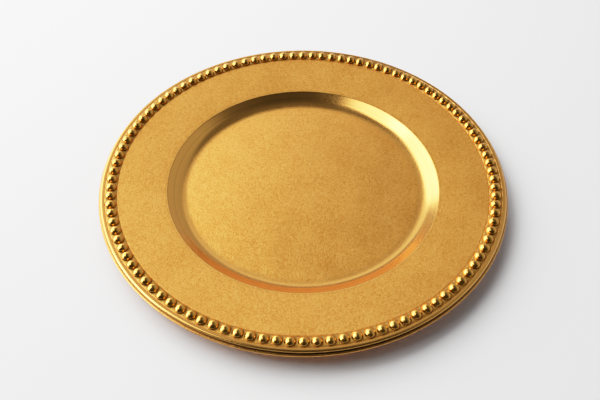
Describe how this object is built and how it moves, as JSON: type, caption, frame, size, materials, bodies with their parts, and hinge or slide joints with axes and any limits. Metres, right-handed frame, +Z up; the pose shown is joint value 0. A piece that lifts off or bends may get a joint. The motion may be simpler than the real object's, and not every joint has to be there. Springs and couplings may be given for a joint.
{
  "type": "paten plate",
  "caption": "Round gilt metal plate with a flat-floored well, a broad sloping rim, a border of raised beads and a wired edge.",
  "frame": {"origin": "the middle of the plate, on the surface that its foot stands on", "axes": "+Z up along the plate's axis of revolution; the plate is round, so X and Y are any two directions across it, with one bead centred on +X"},
  "size_m": [0.33, 0.33, 0.0207],
  "materials": {
    "satin_gilt": "satin gilding with a fine crinkled grain, brighter on the wall of the well",
    "polished_gilt": "polished gilding on the beads, satin between them",
    "edge_gilt": "polished gilding",
    "foot_gilt": "satin gilding, worn where it stands on the table"
  },
  "bodies": {
    "root": {"dish": "satin_gilt", "bead_border": "polished_gilt", "edge_wire": "edge_gilt", "foot_ring": "foot_gilt"}
  },
  "joints": []
}
